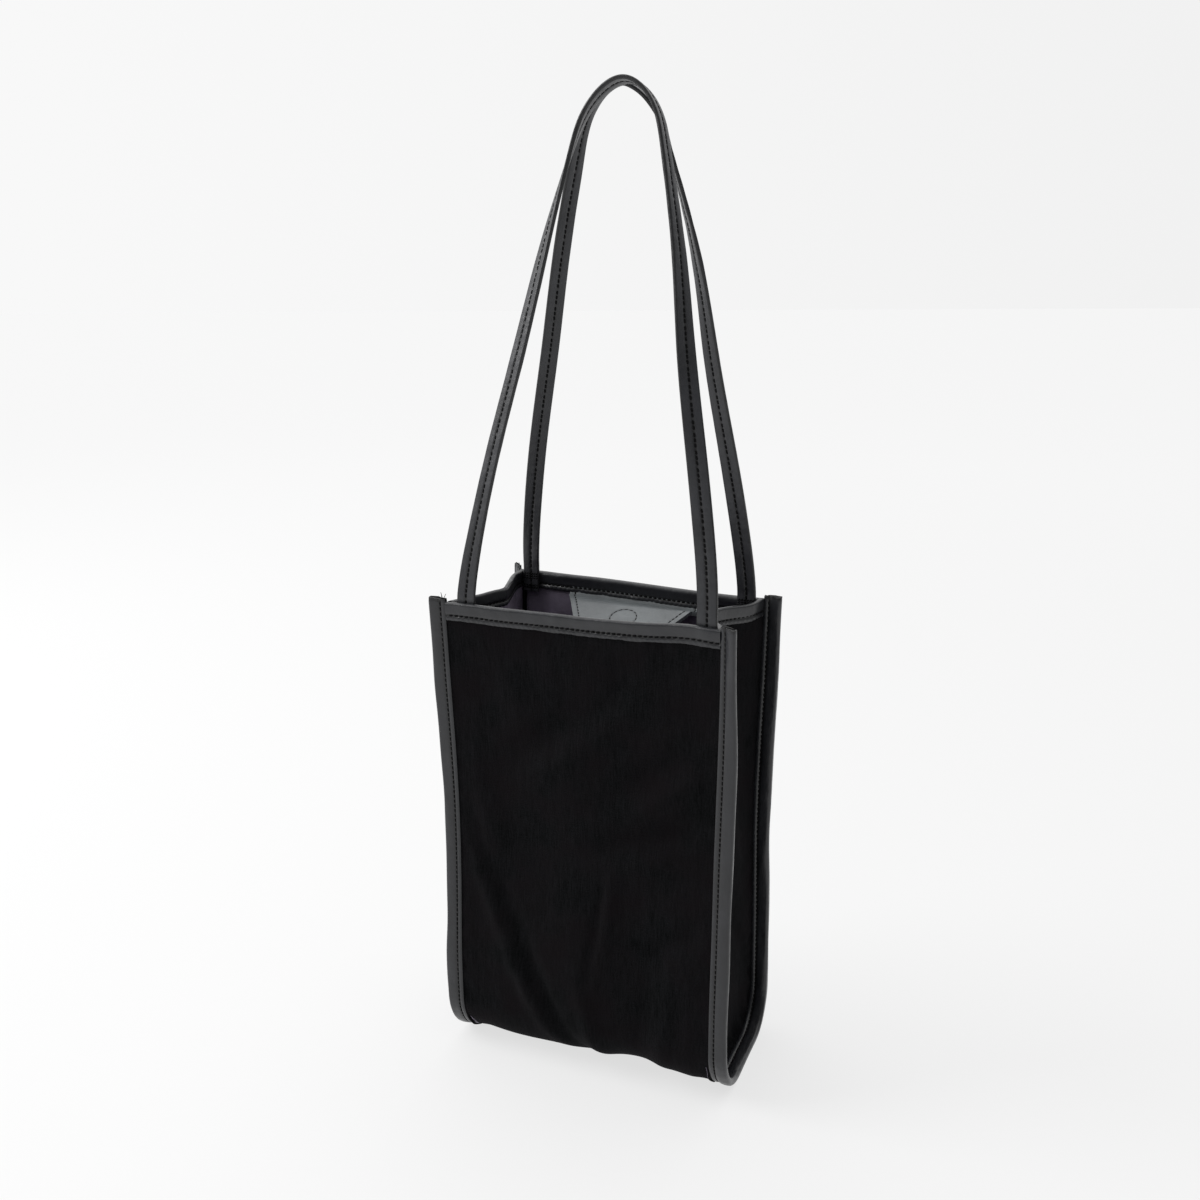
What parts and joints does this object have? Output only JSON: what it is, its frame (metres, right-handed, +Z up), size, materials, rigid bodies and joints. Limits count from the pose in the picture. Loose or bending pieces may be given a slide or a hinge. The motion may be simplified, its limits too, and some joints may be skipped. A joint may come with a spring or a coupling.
{
  "type": "tote bag",
  "caption": "Upright canvas tote bag with leather-bound seams and rims, slim leather loop handles that swing, and a magnetic closure tab inside the mouth.",
  "frame": {"origin": "on the floor, in the middle of the base", "axes": "+X to the right across the front, +Y from the front to the back, +Z up"},
  "size_m": [0.176, 0.0962, 0.5535],
  "materials": {
    "canvas": "black dyed cotton canvas, plain weave with slubs, matt",
    "lining": "thin dark purplish-black lining cloth, slightly lustrous",
    "binding_leather": "smooth black calf leather, soft satin sheen, folded and stitched",
    "strap_leather": "smooth black leather strap with painted edges",
    "thread": "black polyester sewing thread",
    "magnet": "nickel-plated disc magnet, hidden under leather"
  },
  "bodies": {
    "bag": {"body_panel": "canvas", "gusset_left": "canvas", "gusset_right": "canvas", "body_lining": "lining", "gusset_lining_left": "lining", "gusset_lining_right": "lining", "edge_binding_left": "binding_leather", "edge_binding_right": "binding_leather", "rim_binding_front": "binding_leather", "rim_binding_back": "binding_leather", "rim_binding_left": "binding_leather", "rim_binding_right": "binding_leather", "handle_foot_front_left": "strap_leather", "handle_foot_front_right": "strap_leather", "handle_foot_back_left": "strap_leather", "handle_foot_back_right": "strap_leather", "closure_tab_root": "binding_leather", "catch_patch": "binding_leather", "edge_stitching_left": "thread", "edge_stitching_right": "thread", "rim_stitching_front": "thread", "rim_stitching_back": "thread", "rim_stitching_left": "thread", "rim_stitching_right": "thread", "handle_foot_stitching": "thread", "catch_magnet": "magnet"},
    "front_handle": {"handle_front": "strap_leather", "handle_stitching_front": "thread"},
    "back_handle": {"handle_back": "strap_leather", "handle_stitching_back": "thread"},
    "closure_tab": {"closure_tab_under": "binding_leather", "closure_tab_top": "binding_leather", "closure_tab_magnet": "magnet", "closure_tab_stitching": "thread"}
  },
  "joints": [
    {"name": "front_handle_swing", "type": "hinge", "parent": "bag", "child": "front_handle", "pos_m": [0, -0.04706, 0.281], "axis": [1, 0, 0], "range_deg": [0, 180]},
    {"name": "back_handle_swing", "type": "hinge", "parent": "bag", "child": "back_handle", "pos_m": [0, 0.04658, 0.281], "axis": [-1, 0, 0], "range_deg": [0, 180]},
    {"name": "closure_tab_swing", "type": "hinge", "parent": "bag", "child": "closure_tab", "pos_m": [0, 0.04193, 0.2675], "axis": [1, 0, 0], "range_deg": [-100, 58]}
  ]
}
